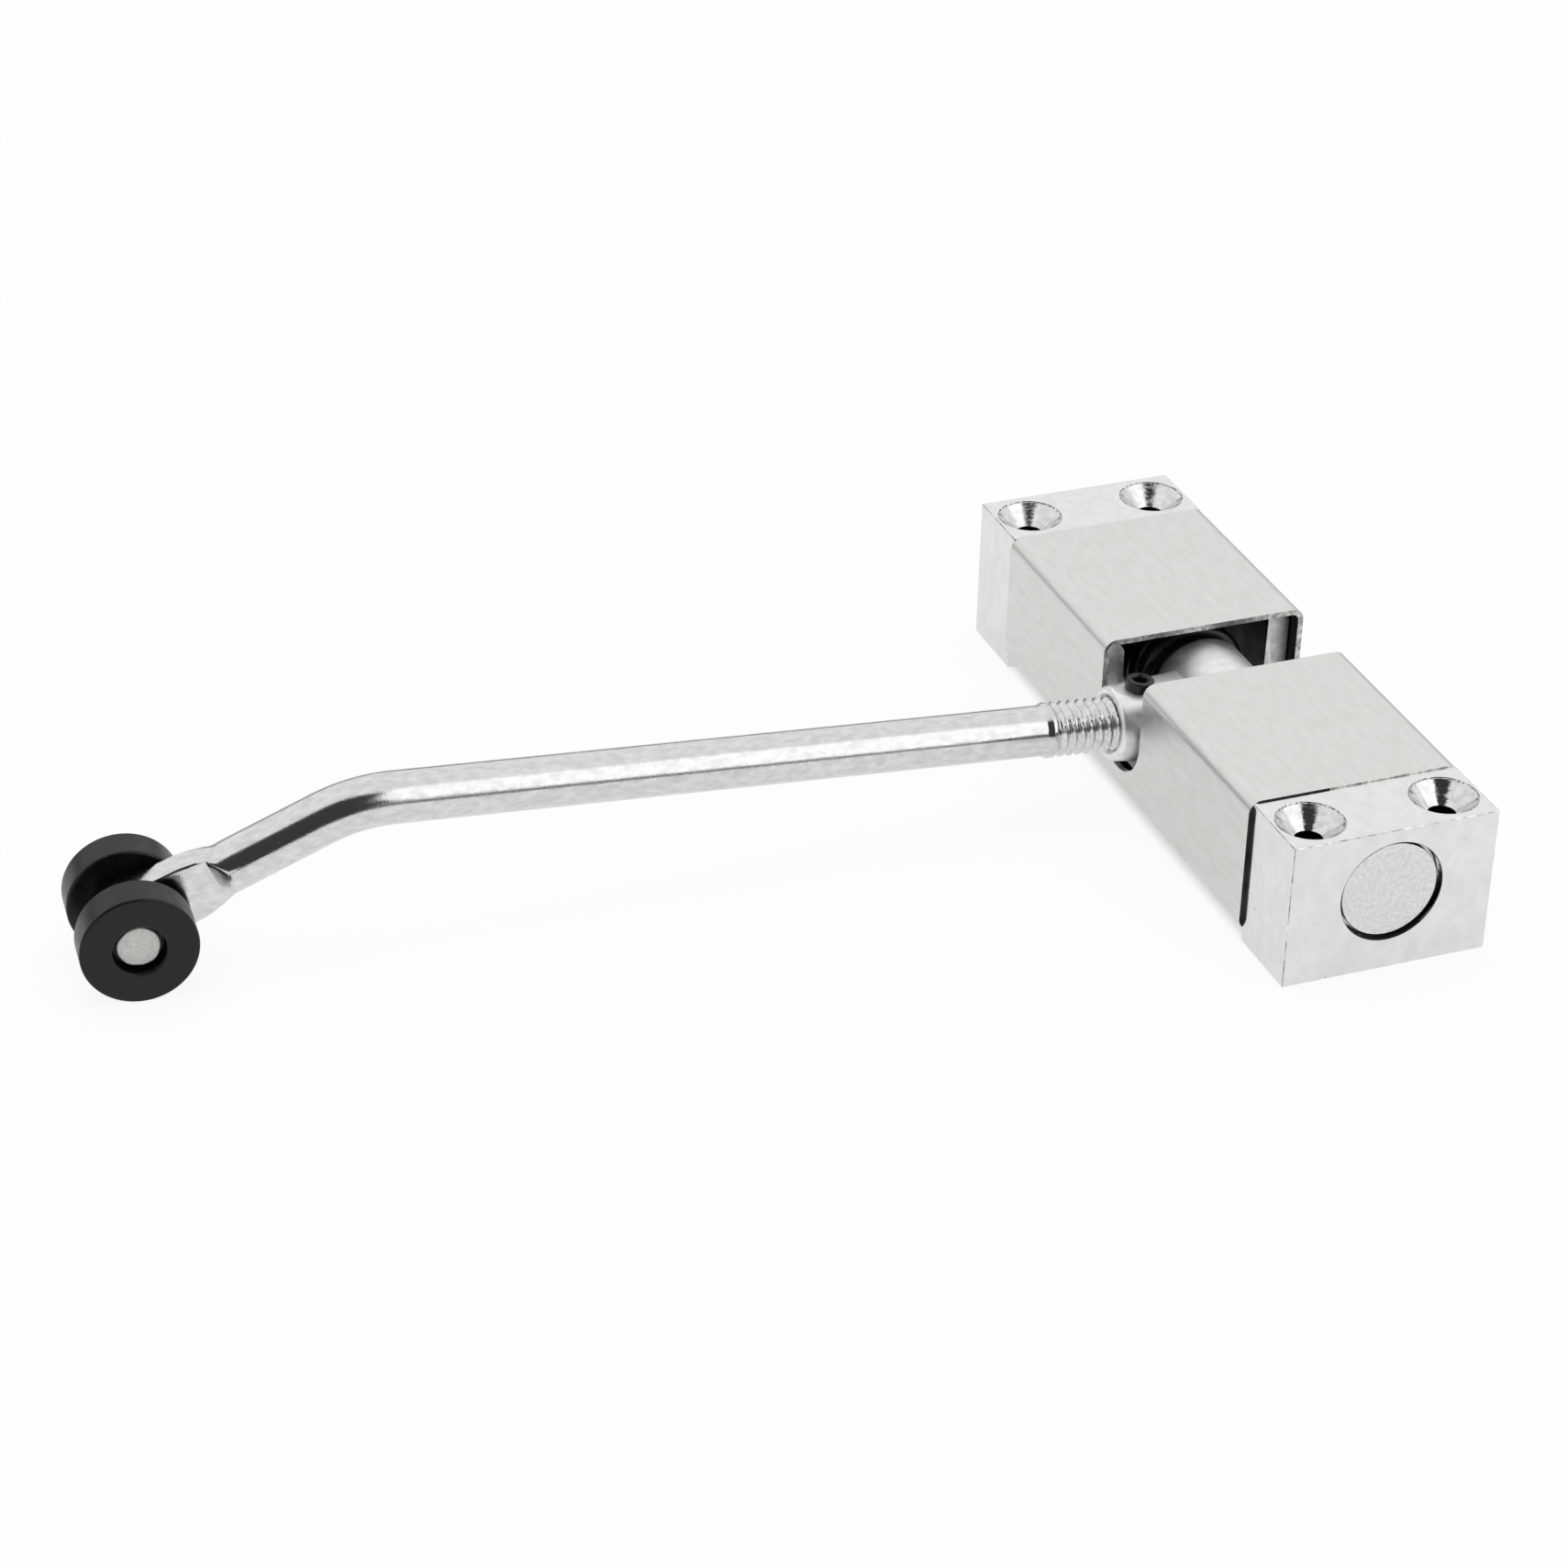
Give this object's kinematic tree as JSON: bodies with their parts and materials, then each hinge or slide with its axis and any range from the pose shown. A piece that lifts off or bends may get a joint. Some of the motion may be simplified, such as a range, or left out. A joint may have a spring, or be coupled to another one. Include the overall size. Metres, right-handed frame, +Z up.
{
  "type": "concealed door closer",
  "caption": "Sprung door closer: torsion springs in a low screw-down housing turn a slotted hub, and its bent, flattened rod carries rollers that push the door shut.",
  "frame": {"origin": "centre of the mounting face, midway between the four screw holes", "axes": "+Z up from the mounting face, +Y along the housing and its spindle, the arm lies towards -X"},
  "size_m": [0.1792, 0.1022, 0.0242],
  "materials": {
    "brushed_stainless_cover": "satin, brushed along the housing",
    "chromed_zinc": "bright chrome plate over a slightly wavy die-casting",
    "cast_plug": "plated, fine grain",
    "chromed_hub": "bright plate over a casting",
    "plated_rod": "bright plated drawn steel",
    "ground_steel": "ground",
    "rivet_steel": "matt, hammered head",
    "bearing_bronze": "oiled, sintered",
    "black_spring_steel": "black, oiled",
    "black_oxide_screw": "black oxide",
    "black_nylon": "satin moulded nylon"
  },
  "bodies": {
    "housing": {"cover_channel": "brushed_stainless_cover", "front_end_block": "chromed_zinc", "rear_end_block": "chromed_zinc", "front_end_plug": "cast_plug", "rear_end_plug": "cast_plug", "front_bush": "bearing_bronze", "rear_bush": "bearing_bronze", "front_torsion_spring": "black_spring_steel", "rear_torsion_spring": "black_spring_steel"},
    "arm": {"hub": "chromed_hub", "spindle": "ground_steel", "hub_cross_pin": "ground_steel", "front_thrust_washer": "ground_steel", "rear_thrust_washer": "ground_steel", "hub_grub_screw": "black_oxide_screw", "arm_rod": "plated_rod", "roller_pin": "rivet_steel", "front_spacer_washer": "black_nylon", "rear_spacer_washer": "black_nylon"},
    "front_roller": {"front_roller": "black_nylon"},
    "rear_roller": {"rear_roller": "black_nylon"}
  },
  "joints": [
    {"name": "arm_swing", "type": "hinge", "parent": "housing", "child": "arm", "pos_m": [0, 0, 0.01186], "axis": [0, 1, 0], "range_deg": [-5, 175], "stiffness_Nm_per_rad": 1, "deforming": ["front_torsion_spring", "rear_torsion_spring"]},
    {"name": "front_roller_spin", "type": "hinge", "parent": "arm", "child": "front_roller", "pos_m": [-0.15529, 0.00252, 0.0078], "axis": [0.0837, 0.9965, 0], "continuous": true},
    {"name": "rear_roller_spin", "type": "hinge", "parent": "arm", "child": "rear_roller", "pos_m": [-0.15529, 0.00252, 0.0078], "axis": [0.0837, 0.9965, 0], "continuous": true}
  ]
}
